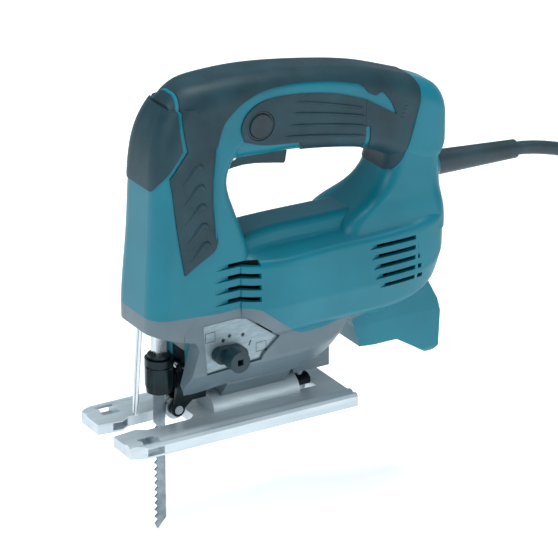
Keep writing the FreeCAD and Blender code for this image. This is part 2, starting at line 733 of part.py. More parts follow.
# Roller guide behind the blade
def roller_guide():
    px, pz = retainer_pivot
    rx, rz = roller_centre
    plates = []
    for s in (-1, 1):
        y0 = 3.1 if s > 0 else -5.5
        arm = slab([
            (px - 2.6, pz + 2), (px - 3.2, pz - 8), (rx - 1.8, rz + 6.0), (rx - 3.4, rz),
            (rx, rz - 4.2), (rx + 3.2, rz - 0.8), (rx + 9.4, rz + 4.6), (rx + 9.4, rz + 7.6),
            (px + 3.4, pz - 12), (px + 3.2, pz + 2),
        ], y0, y0 + 2.4)
        plates.append(arm.fuse([rod_y(y0, y0 + 2.4, 3.2, px, pz), rod_y(y0, y0 + 2.4, 4.2, rx, rz)]))
    bridge = box(rx + 7.2, rx + 9.4, -5.5, 5.5, rz + 4.4, rz + 7.6)
    foot = box(rx + 9.0, 27.5, -4.5, 4.5, rz + 3.6, rz + 8.6)
    shape = join(plates + [bridge, foot])
    shape = shape.cut(rod_y(-10, 10, 2.0 + fit_clearance, px, pz))
    return shape.cut(rod_y(-10, 10, 1.6, rx, rz))


def roller():
    rx, rz = roller_centre
    wheel = rod_y(-2.6, 2.6, roller_radius, rx, rz)
    groove = rod_y(-0.85, 0.85, roller_radius + 2, rx, rz)
    groove = groove.cut(rod_y(-2, 2, roller_radius - roller_groove, rx, rz))
    return wheel.cut(groove).cut(rod_y(-5, 5, 1.6 + fit_clearance, rx, rz))


def roller_pin():
    rx, rz = roller_centre
    return rod_y(-5.6, 5.6, 1.6, rx, rz).fuse([rod_y(-6.1, -5.5, 2.6, rx, rz), rod_y(5.5, 5.9, 2.2, rx, rz)])


# Controls
def orbit_lever():
    sx, sz = lever_shaft
    tx, tz = lever_tip
    y0 = panel_recess - casting_half_width - 0.35
    hub = rod_y(y0 - 5.0, y0, 6.0, sx, sz)
    tip = rod_y(y0 - 5.0, y0, 4.6, tx, tz)
    bar = slab([(sx, sz - 6.0), (sx, sz + 6.0), (tx, tz + 4.6), (tx, tz - 4.6)], y0 - 5.0, y0)
    middle = (0.55 * sx + 0.45 * tx, 0.55 * sz + 0.45 * tz)
    knob = rod_y(y0 - knob_reach, y0 - 4.9, knob_radius, *middle)
    x, z, y = *middle, y0 - knob_reach
    pocket = box(x - 1.8, x + 1.8, y - 1, y + 4, z - 1.8, z + 1.8)
    return join([hub, tip, bar, knob]).cut(pocket)


def orbit_shaft():
    sx, sz = lever_shaft
    y0 = panel_recess - casting_half_width - 0.35
    shaft = rod_y(y0, 15.0, 3.0, sx, sz)
    return shaft.cut(box(sx - 5, sx + 5, -6, 6, sz + 0.8, sz + 5))


def trigger():
    outline = [
        (39.5, 161.0), (38.8, 150.0), (44, 150.8), (50, 151.2), (58, 150.6), (70, 148.4), (76.5, 147.0),
        (77.5, 148.0), (78.5, 154.0), (78.0, 160.5), (60, 161.0),
    ]
    shape = slab(outline, -7.8, 7.8).cut(box(46, 74, -6, 6, 153.5, 170))
    hub = rod_y(-7.8, 7.8, 2.6, *trigger_hinge)
    return shape.fuse(hub).cut(rod_y(-10, 10, 1.5 + fit_clearance, *trigger_hinge))


def lock_cap():
    x, z = lock_button
    button = rod_y(-handle_half_width - 1.4, -handle_half_width + 5.5, lock_radius, x, z)
    return button.fuse(rod_y(-handle_half_width + 5.4, -9.0, 2.4, x, z))


def lock_ring():
    x, z = lock_button
    ring = rod_y(-handle_half_width - 0.6, -handle_half_width + 3.0, lock_radius + 1.5, x, z)
    return ring.cut(rod_y(-40, 0, lock_radius + 0.12, x, z))


def lock_blank():
    """The blind disc that fills the same hole on the far side."""
    x, z = lock_button
    return rod_y(handle_half_width - 2.6, handle_half_width + 0.2, lock_radius + 1.5, x, z)


# Cord
def along_exit(shape):
    shape.rotate(Vector(cord_exit[0], 0, cord_exit[1]), Vector(0, 1, 0), cord_droop)
    return shape


def cord_guard():
    x, z = cord_exit
    axis = Vector(1, 0, 0)
    inside = Part.makeCylinder(guard_big / 2, 11, Vector(x - 7, 0, z), axis)
    flange = Part.makeCylinder(guard_big / 2 + 2.2, 2.0, Vector(x - 9, 0, z), axis)
    cone = Part.makeCone(guard_big / 2, guard_small / 2, guard_length - 3.9, Vector(x + 3.9, 0, z), axis)
    body = inside.fuse([flange, along_exit(cone)])
    bore = Part.makeCylinder(cord_diameter / 2, 9.5, Vector(x - 9.5, 0, z), axis)
    return body.cut(bore)


cord_route = [
    (254, -0.5, 119.8), (302, -9, 103), (311, -20, 52), (313, -30, 4), (322, -34.5, -38),
    (356, -36, -58), (390, -36, -58),
]
# The hank: turns round two end folds, in two columns and three layers
hank_folds = (388.0, 468.0)
hank_y = -2.0
hank_outer = 38.2
hank_inner = 21.8
hank_height = 24.6
hank_lift = 1.0
tie_width = 12.0
plug_start = (426.0, 24.0)


def stadium(radius, low, high):
    x0, x1 = hank_folds
    middle = box(x0, x1, hank_y - radius, hank_y + radius, low, high)
    return middle.fuse([rod_z(low, high, radius, x, hank_y) for x in hank_folds])


def power_cord():
    start = Vector(guard_length, 0, 0)
    turn = Rotation(Vector(0, 1, 0), cord_droop)
    exit_point = turn.multVec(start) + Vector(cord_exit[0], 0, cord_exit[1])
    points = [exit_point] + [Vector(*p) for p in cord_route]
    runs = [(b - a).Length for a, b in zip(points, points[1:])]
    edges, radii, at = [], [], points[0]
    for i in range(1, len(points) - 1):
        back, ahead = points[i - 1] - points[i], points[i + 1] - points[i]
        half_turn = (math.pi - back.getAngle(ahead)) / 2
        radius = 0.45 * min(runs[i - 1], runs[i]) / math.tan(half_turn)
        radii.append(round(radius, 1))
        reach = radius * math.tan(half_turn)
        back.normalize()
        ahead.normalize()
        middle = back + ahead
        middle.normalize()
        a, b = points[i] + back * reach, points[i] + ahead * reach
        m = points[i] + middle * (radius / math.cos(half_turn) - radius)
        edges += [Part.LineSegment(at, a).toShape(), Part.Arc(a, m, b).toShape()]
        at = b
    edges.append(Part.LineSegment(at, points[-1]).toShape())
    path = Part.Wire(edges)
    ring = Part.Wire([Part.makeCircle(cord_diameter / 2, points[0], points[1] - points[0])])
    tube = path.makePipeShell([ring], True, False)
    share = tube.Volume / (math.pi * cord_diameter ** 2 / 4 * path.Length)
    print("cord runs", [round(r, 1) for r in runs], "radii", radii)
    print("cord length", round(path.Length), "volume", round(share, 4))
    return tube.cut(cord_hank())


def cord_hank():
    low = floor + hank_lift
    high = low + hank_height
    return stadium(hank_outer, low, high).cut(stadium(hank_inner, low - 1, high + 1))


def cord_tie():
    """A strap round one run of the hank."""
    middle = sum(hank_folds) / 2
    x0, x1 = middle - tie_width / 2, middle + tie_width / 2
    low, high = floor + 0.1, floor + hank_lift + hank_height + 0.9
    strap = box(x0, x1, hank_y - hank_outer - 0.9, hank_y - hank_inner + 0.9, low, high)
    return strap.cut(cord_hank())


def plug_body():
    x0, y0 = plug_start
    z0 = floor + hank_lift + hank_height + 7.0
    relief = Part.makeCone(4.6, 6.0, 24, Vector(x0, y0, z0), Vector(-1, 0, 0))
    body = box(x0 - 55, x0 - 23, y0 - 14, y0 + 14, z0 - 7, z0 + 7)
    edges = [e for e in body.Edges if e.Length > 30]
    return body.makeFillet(5.0, edges).fuse(relief)


def plug_pins():
    x0, y0 = plug_start[0] - 55, plug_start[1]
    z0 = floor + hank_lift + hank_height + 7.0
    pins = []
    for y in (y0 - 9.5, y0 + 9.5):
        tip = Part.makeCone(2.4, 1.4, 2.0, Vector(x0 - 17, y, z0), Vector(-1, 0, 0))
        pins.append(rod_x(x0 - 17, x0, 2.4, y, z0).fuse(tip))
    return Part.makeCompound(pins)


# Small fixed pieces
def wire_guard():
    x, low, r, half = -12.4, 13.5, 0.9, 1.5
    legs = [rod_z(low, 69, r, x, s * half) for s in (-1, 1)]
    bend = Part.makeTorus(half, r, Vector(x, 0, low), Vector(1, 0, 0)).common(box(-40, 0, -9, 9, 0, low))
    shape = join(legs + [bend])
    shape.rotate(Vector(x, 0, 62), Vector(0, 1, 0), 3.9)
    return shape


def front_shroud():
    plate = box(12.5, 14.2, -12.6, 12.6, 38, 72)
    return plate.cut(box(10, 16, -6.8, 6.8, 30, 58))


def lever_plate():
    return slab([(x + (0.8 if x < 30 else -0.8), z + (0.8 if z < 45 else -0.8)) for x, z in panel_points],
                panel_recess - casting_half_width - 0.3, panel_recess - casting_half_width).cut(
                    rod_y(-40, 0, 3.2, *lever_shaft))


def switch_body():
    case = box(50, 92, -9, 9, 168, 192).fuse(box(60, 66, -3, 3, 162.5, 168))
    return case.cut(rod_y(-10, -5.5, 2.7, *lock_button))


def bearing(x0, x1):
    return ring_x(x0, x1, bearing_radius, shaft_radius, motor_height)


def screws():
    made = []
    for x, z, seat in housing_screws:
        screw = rod_y(-7.5, seat, screw_radius, x, z).fuse(rod_y(seat, seat + 2.6, head_radius, x, z))
        slots = [box(x - 2.0, x + 2.0, seat + 1.2, seat + 3, z - 0.4, z + 0.4),
                 box(x - 0.4, x + 0.4, seat + 1.2, seat + 3, z - 2.0, z + 2.0)]
        made.append(screw.cut(Part.makeCompound(slots)))
    return Part.makeCompound(made)


def dust_port():
    x0 = dust_port_x - dust_port_length
    return ring_x(x0, dust_port_x, dust_port_radius + dust_port_wall, dust_port_radius, dust_port_height)


def cord_clamp():
    return box(150, 160, -7, 7, 116.5, 119.3)


housing = housing_body()
pieces = {
    "gear_housing": casting_body(),
    "housing_screws": screws(),
    "front_shroud": front_shroud(),
    "wire_guard": wire_guard(),
    "lever_plate": lever_plate(),
    "stator_core": stator_core(),
    "field_coils": field_coils(),
    "fan_baffle": fan_baffle(),
    "front_bearing": bearing(25.2, 32.2),
    "rear_bearing": bearing(rear_bearing_x + 0.2, rear_bearing_x + 7.2),
    "brush_holders": brush_holders(),
    "carbon_brushes": carbon_brushes(),
    "switch_body": switch_body(),
    "trigger": trigger(),
    "trigger_pin": rod_y(-12.9, 12.9, 1.5, *trigger_hinge),
    "lock_button": lock_cap(),
    "lock_ring": lock_ring(),
    "lock_blank": lock_blank(),
    "orbit_lever": orbit_lever(),
    "orbit_shaft": orbit_shaft(),
    "armature_shaft": armature_shaft(),
    "armature_core": armature_core(),
    "commutator": commutator(),
    "cooling_fan": cooling_fan(),
    "crank_gear": crank_gear().cut(rod_x(12, 18.2, 2.2, 0, yoke_rest)),
    "crank_pin": rod_x(10.7, 18.2, 2.2, 0, yoke_rest),
    "gear_axle": rod_x(15.7, 25.2, 4.0, 0, gear_height).fuse(rod_x(25, 27, 6.0, 0, gear_height)),
    "plunger": plunger(),
    "yoke": yoke(),
    "plunger_guide": plunger_guide(),
    "guide_bushes": guide_bushes(),
    "guide_pin": rod_y(-13.2, 13.2, 2.5, *guide_pivot),
    "clamp_body": clamp_body(),
    "blade_collar": blade_collar(),
    "saw_blade": saw_blade(),
    "roller_guide": roller_guide(),
    "retainer_pin": rod_y(-11.4, 11.4, 2.0, *retainer_pivot),
    "roller": roller(),
    "roller_pin": roller_pin(),
    "base_plate": base_plate(),
    "base_clamp_plate": clamp_plate(),
    "base_clamp_bolt": clamp_bolt(),
    "dust_port": dust_port(),
    "cord_guard": cord_guard(),
    "cord_clamp": cord_clamp(),
    "power_cord": power_cord(),
    "cord_hank": cord_hank(),
    "cord_tie": cord_tie(),
    "plug_body": plug_body(),
    "plug_pins": plug_pins(),
}
pieces["orbit_lever"] = pieces["orbit_lever"].cut(pieces["orbit_shaft"])
for side in ("left", "right"):
    pieces["housing_" + side] = half_of(housing, side)
    for name, grip in grips.items():
        pieces[name + "_" + side] = half_of(grip, side)
hole = rod_y(-60, 60, lock_radius + 1.6, *lock_button)
for side in ("left", "right"):
    pieces["side_pad_" + side] = pieces["side_pad_" + side].cut(hole)
screw_ways = Part.makeCompound([rod_y(0, 60, head_radius + 0.3, x, z) for x, z, seat in housing_screws])
for name in grips:
    pieces[name + "_right"] = pieces[name + "_right"].cut(screw_ways)

for name, shape in pieces.items():
    print(name, "solids", len(shape.Solids), "volume", round(shape.Volume), "valid", shape.isValid())
    shape.exportStep("parts/" + name + ".step")
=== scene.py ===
import json
import math

import bmesh
import bpy
from mathutils import Matrix, Vector
from mathutils.bvhtree import BVHTree


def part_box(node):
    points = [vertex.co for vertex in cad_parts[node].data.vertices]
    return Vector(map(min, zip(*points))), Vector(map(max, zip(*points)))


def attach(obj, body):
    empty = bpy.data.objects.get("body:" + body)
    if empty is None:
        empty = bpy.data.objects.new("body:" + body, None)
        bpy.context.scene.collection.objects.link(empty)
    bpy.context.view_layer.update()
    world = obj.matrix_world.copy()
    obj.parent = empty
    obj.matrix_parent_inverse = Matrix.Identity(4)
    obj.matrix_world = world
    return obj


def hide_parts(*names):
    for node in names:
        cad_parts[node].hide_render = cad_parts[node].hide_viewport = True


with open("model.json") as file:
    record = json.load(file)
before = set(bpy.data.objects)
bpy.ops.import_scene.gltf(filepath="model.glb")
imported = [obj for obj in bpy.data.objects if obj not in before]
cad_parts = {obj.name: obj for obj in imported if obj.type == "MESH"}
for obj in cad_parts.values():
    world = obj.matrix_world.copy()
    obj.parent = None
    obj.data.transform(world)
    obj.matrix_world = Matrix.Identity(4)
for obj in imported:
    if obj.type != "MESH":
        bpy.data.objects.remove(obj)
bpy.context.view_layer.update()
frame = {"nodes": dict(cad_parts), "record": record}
nodes = frame["nodes"]
mm = 0.001
print("stage: frame loaded,", len(nodes), "nodes")


# Camera and light
view = {
    "target": (0.0744, -0.0061, 0.0767),
    "backward": (-0.472, -0.7885, 0.3945),
    "distance": 2.506,
    "lensMm": 287.8,
    "sensorMm": 36.0,
}


def makeCamera():
    data = bpy.data.cameras.new("studioCamera")
    data.lens = view["lensMm"]
    data.sensor_width = view["sensorMm"]
    data.clip_start = 0.05
    data.clip_end = 50
    cam = bpy.data.objects.new("studioCamera", data)
    bpy.context.scene.collection.objects.link(cam)
    backward = Vector(view["backward"]).normalized()
    cam.location = Vector(view["target"]) + backward * view["distance"]
    cam.rotation_euler = (-backward).to_track_quat("-Z", "Y").to_euler()
    bpy.context.scene.camera = cam


def makeLight(name, place, aim, size, power, tint):
    data = bpy.data.lights.new(name, "AREA")
    data.shape = "RECTANGLE"
    data.size, data.size_y = size
    data.energy = power
    data.color = tint
    lamp = bpy.data.objects.new(name, data)
    bpy.context.scene.collection.objects.link(lamp)
    lamp.location = place
    lamp.rotation_euler = (Vector(aim) - Vector(place)).to_track_quat("-Z", "Y").to_euler()


makeCamera()
lamps = {  # place, aim, size, watts, tint
    "keyPanel": ((-1.2, -0.7, 1.1), (0.06, 0, 0.08), (0.8, 0.9), 8.0, (0.9, 0.97, 1.0)),
    "topPanel": ((0.1, 0.1, 1.6), (0.08, 0, 0.1), (1.2, 0.5), 20.0, (0.9, 0.97, 1.0)),
    "sidePanel": ((1.1, -1.6, 0.5), (0.1, 0, 0.08), (0.5, 1.2), 5.0, (0.9, 0.97, 1.0)),
}
for lampName, (place, aim, size, power, tint) in lamps.items():
    makeLight(lampName, place, aim, size, power, tint)
bpy.context.scene.view_settings.view_transform = "Standard"
print("stage: camera and lights")


# Materials
def linearColour(hexColour):
    parts = [int(hexColour[i:i + 2], 16) / 255 for i in (1, 3, 5)]
    return [p / 12.92 if p <= 0.04045 else ((p + 0.055) / 1.055) ** 2.4 for p in parts] + [1.0]


def addNode(tree, kind, settings=None, links=None):
    node = tree.nodes.new(kind)
    for key, value in (settings or {}).items():
        if key in node.inputs.keys():
            node.inputs[key].default_value = value
        else:
            setattr(node, key, value)
    for key, source in (links or {}).items():
        tree.links.new(source, node.inputs[key])
    return node


def startMaterial(name, **shaderValues):
    material = bpy.data.materials.new(name)
    material.use_nodes = True
    tree = material.node_tree
    shader = tree.nodes["Principled BSDF"]
    for key, value in shaderValues.items():
        shader.inputs[key].default_value = value
    return material, tree, shader


def grainedFinish(name, darkHex, lightHex, rough, grainMm, bumpMm, blotchMm=30.0, stretch=(1, 1, 1),
                  **shaderValues):
    # a blotchy colour between two hexes, roughness that follows it, and one fine grain in the bump
    material, tree, shader = startMaterial(name, **shaderValues)
    place = addNode(tree, "ShaderNodeTexCoord").outputs["Object"]
    mapped = addNode(tree, "ShaderNodeMapping", {"Scale": stretch}, {"Vector": place}).outputs["Vector"]
    blotch = addNode(tree, "ShaderNodeTexNoise", {"Scale": 1000 / blotchMm, "Detail": 3.0, "Roughness": 0.55},
                     {"Vector": mapped})
    colour = addNode(tree, "ShaderNodeMix", {"data_type": "RGBA"})
    colour.inputs["A"].default_value = linearColour(darkHex)
    colour.inputs["B"].default_value = linearColour(lightHex)
    spread = addNode(
        tree, "ShaderNodeMapRange", {"From Min": 0.35, "From Max": 0.65}, {"Value": blotch.outputs["Fac"]})
    tree.links.new(spread.outputs["Result"], colour.inputs["Factor"])
    tree.links.new(colour.outputs["Result"], shader.inputs["Base Color"])
    grain = addNode(tree, "ShaderNodeTexNoise", {"Scale": 1000 / grainMm, "Detail": 2.0, "Roughness": 0.6},
                    {"Vector": mapped})
    roughness = addNode(tree, "ShaderNodeMapRange",
                        {"From Min": 0.3, "From Max": 0.7, "To Min": rough[0], "To Max": rough[1]},
                        {"Value": grain.outputs["Fac"]})
    tree.links.new(roughness.outputs["Result"], shader.inputs["Roughness"])
    bump = addNode(
        tree, "ShaderNodeBump", {"Strength": 1.0, "Distance": bumpMm * mm}, {"Height": grain.outputs["Fac"]})
    tree.links.new(bump.outputs["Normal"], shader.inputs["Normal"])
    return material


# glass-filled nylon, injection moulded in a spark-eroded tool: satin, with a very fine grain
tealNylon = grainedFinish("mouldedTealNylon", "#006c7e", "#027689", (0.33, 0.43), 0.7, 0.012, 45, IOR=1.53,
                           **{"Specular IOR Level": 0.32})
# thermoplastic elastomer moulded over the nylon: matte, cloudy, a little coarser in grain
charcoalElastomer = grainedFinish(
    "overmouldedElastomer", "#123039", "#1c3f4a", (0.44, 0.56), 0.9, 0.03, 26, IOR=1.5,
    **{"Specular IOR Level": 0.34})
# lever and lock button, moulded in plain black nylon: smoother than the grip
blackNylon = grainedFinish("mouldedBlackNylon", "#08222b", "#10303a", (0.33, 0.45), 0.6, 0.012, 20, IOR=1.53,
                            **{"Specular IOR Level": 0.4})
# internal mouldings in black polyamide
darkPlastic = grainedFinish(
    "mouldedDarkPolyamide", "#0d1011", "#16191a", (0.45, 0.6), 0.8, 0.015, 20, IOR=1.53)
# die-cast aluminium sprayed with grey satin enamel: slight orange peel
greyEnamel = grainedFinish("sprayedGreyEnamel", "#586a73", "#63757e", (0.36, 0.46), 1.3, 0.02, 30, IOR=1.5)
# the lever panel is the same casting, ground flat and left lighter
groundPanel = grainedFinish(
    "groundCastPanel", "#83949c", "#93a3ab", (0.35, 0.5), 0.8, 0.01, 6, (1, 1, 6), Metallic=0.55)
# die-cast aluminium sole, buffed along its length: bright, with faint long scratches
buffedAluminium = grainedFinish(
    "buffedCastAluminium", "#bcc7ce", "#ccd6dc", (0.3, 0.46), 1.0, 0.012, 9, (0.12, 1, 1), Metallic=0.35)
# steel blackened in hot oxide: dark, slightly glossy
blackOxide = grainedFinish(
    "blackOxideSteel", "#06161b", "#0e252c", (0.26, 0.42), 0.6, 0.01, 10, Metallic=0.55)
# ground and polished steel rod
groundSteel = grainedFinish(
    "groundSteel", "#b4babf", "#cdd2d5", (0.16, 0.28), 0.6, 0.004, 8, (1, 1, 0.2), Metallic=1.0)
# cold-rolled blade steel, bead blasted
bladeSteel = grainedFinish(
    "blastedBladeSteel", "#78838a", "#8f9aa0", (0.3, 0.42), 0.5, 0.008, 7, Metallic=0.85)
# zinc-plated fasteners
zincPlate = grainedFinish("zincPlatedSteel", "#9ea4a6", "#c2c7c9", (0.22, 0.36), 0.5, 0.006, 5, Metallic=1.0)
# flexible cord and its guard, extruded and moulded PVC
cordVinyl = grainedFinish("extrudedVinyl", "#142a32", "#1f3b45", (0.42, 0.55), 0.8, 0.015, 18, IOR=1.54)
enamelledCopper = grainedFinish(
    "enamelledCopper", "#8a3f1c", "#b5602c", (0.2, 0.35), 0.7, 0.03, 3, Metallic=0.8)
sinteredBronze = grainedFinish(
    "sinteredBronze", "#7a5a2c", "#9b7840", (0.35, 0.5), 0.4, 0.02, 4, Metallic=0.9)
pressedCarbon = grainedFinish("pressedCarbon", "#0b0b0c", "#1a1a1c", (0.5, 0.7), 0.5, 0.02, 3)
nickelPlate = grainedFinish(
    "nickelPlatedBrass", "#b9b7ae", "#d2d0c6", (0.15, 0.25), 0.6, 0.004, 6, Metallic=1.0)
# woven hook-and-loop strap
loopStrap = grainedFinish("wovenLoopStrap", "#0b0c0d", "#1d2022", (0.75, 0.95), 0.5, 0.12, 2.5)
# shallow pits and bars, filled with dark paint
darkMark = grainedFinish("darkMarkPaint", "#101a1e", "#1b2a2f", (0.4, 0.5), 0.5, 0.006, 4)
# the paper sweep under it, lit from behind so that it stays white
palePaint = grainedFinish("paperSweep", "#f3f4f5", "#f8f8f9", (0.8, 0.95), 6.0, 0.02, 400,
                          **{"Emission Color": (1, 1, 1, 1), "Emission Strength": 0.52})


def laminatedSteel():
    # punched electrical sheet stacked along the motor's axis; a wave has 20 / 2 pi bands to a unit of scale
    leafMm = 0.5
    material, tree, shader = startMaterial("laminatedSteel", Metallic=0.9)
    place = addNode(tree, "ShaderNodeTexCoord").outputs["Object"]
    leaves = addNode(tree, "ShaderNodeTexWave",
                     {"bands_direction": "X", "Scale": 1000 / leafMm * 2 * math.pi / 20}, {"Vector": place})
    ramp = addNode(tree, "ShaderNodeValToRGB", links={"Fac": leaves.outputs["Fac"]})
    ramp.color_ramp.elements[0].color = linearColour("#3a3d40")
    ramp.color_ramp.elements[1].color = linearColour("#7b8084")
    tree.links.new(ramp.outputs["Color"], shader.inputs["Base Color"])
    shader.inputs["Roughness"].default_value = 0.4
    return material


steelLeaves = laminatedSteel()

slotFinish = {
    "teal_nylon": tealNylon, "charcoal_elastomer": charcoalElastomer, "black_nylon": blackNylon,
    "dark_plastic": darkPlastic, "painted_casting": greyEnamel, "cast_aluminium": buffedAluminium,
    "black_steel": blackOxide, "blade_steel": bladeSteel, "copper": enamelledCopper, "bronze": sinteredBronze,
    "carbon": pressedCarbon, "black_rubber": cordVinyl, "tie_fabric": loopStrap, "bright_steel": groundSteel,
}
nodeFinish = {
    "lever_plate": groundPanel, "housing_screws": zincPlate, "stator_core": steelLeaves,
    "armature_core": steelLeaves, "plug_pins": nickelPlate, "base_clamp_bolt": zincPlate,
    "trigger": charcoalElastomer,
}


def finishOf(node):
    for part in frame["record"]["subparts"]:
        if part["node"] == node:
            return nodeFinish.get(node, slotFinish[part["material_slot"]])


def bodyOf(node):
    bodies = frame["record"]["behaviour"]["bodies"]
    return next(name for name, held in bodies.items() if node in held)


def coat(obj, material):
    obj.data.materials.clear()
    obj.data.materials.append(material)


for nodeName, nodeObject in nodes.items():
    coat(nodeObject, finishOf(nodeName))
print("stage: materials")


# Making pieces
def pieceFrom(bm, name, material, body, smoothAngle=40.0):
    mesh = bpy.data.meshes.new(name)
    bm.to_mesh(mesh)
    bm.free()
    mesh.polygons.foreach_set("use_smooth", [True] * len(mesh.polygons))
    mesh.set_sharp_from_angle(angle=math.radians(smoothAngle))
    obj = bpy.data.objects.new(name, mesh)
    bpy.context.scene.collection.objects.link(obj)
    coat(obj, material)
    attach(obj, body)
    return obj


# Castings, pressings and mouldings with eased edges: node and edge width in mm
easedEdges = {
    "base_plate": 0.55, "roller_guide": 0.3, "clamp_body": 0.25, "blade_collar": 0.35, "orbit_lever": 0.7,
    "trigger": 0.9, "lever_plate": 0.12, "front_shroud": 0.3, "lock_ring": 0.35, "lock_button": 0.6,
    "plunger": 0.25, "base_clamp_plate": 0.3, "saw_blade": 0.08, "dust_port": 0.4,
}


def easedCopy(node, widthMm):
    bm = bmesh.new()
    bm.from_mesh(nodes[node].data)
    bmesh.ops.remove_doubles(bm, verts=bm.verts, dist=2e-6)
    bmesh.ops.dissolve_limit(bm, angle_limit=math.radians(0.6), verts=bm.verts, edges=bm.edges)
    words = node.split("_")
    name = words[0] + "".join(w.capitalize() for w in words[1:]) + "Eased"
    obj = pieceFrom(bm, name, finishOf(node), bodyOf(node), 32.0)
    edge = obj.modifiers.new("easedEdge", "BEVEL")
    edge.width = widthMm * mm
    edge.segments = 3
    edge.limit_method = "ANGLE"
    edge.angle_limit = math.radians(38)
    edge.use_clamp_overlap = True
    edge.harden_normals = False
    shade = obj.modifiers.new("evenShade", "WEIGHTED_NORMAL")
    shade.keep_sharp = True
    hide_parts(node)
    return obj


for nodeName, width in easedEdges.items():
    easedCopy(nodeName, width)
print("stage: eased edges")


# Raised and sunk detail that follows a curved wall
def wallTree(*names):
    bm = bmesh.new()
    for name in names:
        bm.from_mesh(nodes[name].data)
    tree = BVHTree.FromBMesh(bm)
    bm.free()
    return tree


shellNames = ["housing", "grip", "side_pad", "nose_pad"]
walls = {  # the wall's mesh, the way to it, and where a ray to it starts
    "left": (wallTree("gear_housing", "lever_plate", *[n + "_left" for n in shellNames]),
             Vector((0, 1, 0)), lambda a, b: Vector((a, -0.2, b))),
    "right": (wallTree("gear_housing", *[n + "_right" for n in shellNames]),
              Vector((0, -1, 0)), lambda a, b: Vector((a, 0.2, b))),
}


def smoothedPath(points, steps):
    # even points along a quadratic spline through the middle of each run
    pts = [Vector((x, z)) for x, z in points]
    if len(pts) == 2:
        return [pts[0].lerp(pts[1], i / steps) for i in range(steps + 1)]
    controls = pts[1:-1]
    knots = [pts[0]] + [(a + b) / 2 for a, b in zip(controls, controls[1:])] + [pts[-1]]
    line = []
    per = max(2, steps // len(controls))
    for a, c, b in zip(knots, controls, knots[1:]):
        line += [a.lerp(c, i / per).lerp(c.lerp(b, i / per), i / per) for i in range(per)]
    return line + [pts[-1]]


def strip(bm, path, widthMm, heightMm, side, steps=24, across=6, taper=0.25, sinkMm=0.5):
    # a crowned strip along a path drawn on one wall, closed below and sunk a little into it
    tree, ray, start = walls[side]
    line = smoothedPath(path, steps)
    made = bmesh.ops.create_grid(bm, x_segments=len(line) - 1, y_segments=across, size=0.5)["verts"]
    for v in made:
        t, u = v.co.x + 0.5, v.co.y * 2
        i = min(int(round(t * (len(line) - 1))), len(line) - 1)
        along = (line[min(i + 1, len(line) - 1)] - line[max(i - 1, 0)]).normalized()
        ends = min(1.0, min(t, 1 - t) / taper + 0.12) if taper > 0 else 1.0
        ends = math.sin(ends * math.pi / 2)
        half = widthMm / 2 * ends
        spot = line[i] + Vector((-along.y, along.x)) * u * half
        v.co = Vector((spot.x, heightMm * ends * (1 - u * u), spot.y))
    faces = list({f for v in made for f in v.link_faces})
    grown = bmesh.ops.extrude_face_region(bm, geom=faces)["geom"]
    lower = {v for v in made}
    for v in lower:
        v.co.y = -sinkMm
    for v in list(made) + [g for g in grown if isinstance(g, bmesh.types.BMVert)]:
        hit, normal, face, gap = tree.ray_cast(start(v.co.x * mm, v.co.z * mm), ray)
        if hit is None:
            hit, normal = start(v.co.x * mm, v.co.z * mm) + ray * 0.18, -ray
        if normal.dot(ray) > 0:
            normal = -normal
        v.co = hit + (normal * 0.4 - ray * 0.6).normalized() * v.co.y * mm


def stripPiece(name, paths, sizeMm, side, material, slot, **more):
    bm = bmesh.new()
    for path in paths:
        strip(bm, path, *sizeMm, side, **more)
    bmesh.ops.recalc_face_normals(bm, faces=bm.faces)
    return pieceFrom(bm, name, material, "frame", 50.0)


gripRelief = {
    "chevronPeaks": [(13.5, 161.6), (14.2, 149.8), (14.9, 138.2), (15.8, 126.8), (17.0, 115.6)],
    "chevronShape": [
        (-9.6, -8.6), (-5.0, -4.8), (-2.6, -2.4), (-0.4, 0.4), (1.6, 0.6), (3.2, -1.2), (3.8, -3.4)],
    "chevronSize": (3.4, 0.9),  # each size is a width and a height in mm
    "ribLines": [
        ((77.0, 187.2), (99.0, 182.2), (121.0, 174.9)),
        ((74.7, 180.9), (98.5, 176.6), (122.5, 169.8)),
        ((72.4, 174.1), (98.0, 170.2), (123.0, 163.9)),
        ((70.0, 168.0), (97.0, 164.0), (122.5, 158.0)),
    ],
    "ribSize": (1.7, 0.75),
    "rearBars": [(150.2, 172.4), (149.4, 170.3), (148.6, 168.2), (147.8, 166.1), (147.0, 164.0)],
    "beads": [  # moulded lips of the housing along the grip's edges
        [(24.6, 117.5), (24.2, 128.0), (23.2, 140.0), (23.7, 152.0), (25.2, 163.0), (26.2, 171.0)],
        [(141.5, 130.9), (147.4, 135.4), (151.4, 145.0), (154.3, 153.0), (156.7, 161.0), (159.3, 170.5),
         (161.6, 179.0)],
    ],
    "beadSize": (1.1, 0.95),
    "barSize": (0.9, 0.25),
}
rubber = (charcoalElastomer, "charcoal_elastomer")
for side in ("left", "right"):
    shape = gripRelief["chevronShape"]
    bent = [[(x + dx, z + dz) for dx, dz in shape] for x, z in gripRelief["chevronPeaks"]]
    bars = [[(x - 1.3, z + 0.5), (x + 1.3, z - 0.5)] for x, z in gripRelief["rearBars"]]
    stripPiece("gripChevrons." + side, bent, gripRelief["chevronSize"], side, *rubber, taper=0.35)
    stripPiece("padRibs." + side, gripRelief["ribLines"], gripRelief["ribSize"], side, *rubber, taper=0.12)
    stripPiece("gripRearBars." + side, bars, gripRelief["barSize"], side, *rubber, steps=6, across=4)
    stripPiece("gripBeads." + side, gripRelief["beads"], gripRelief["beadSize"], side, tealNylon,
               "teal_nylon", steps=40, taper=0.04)

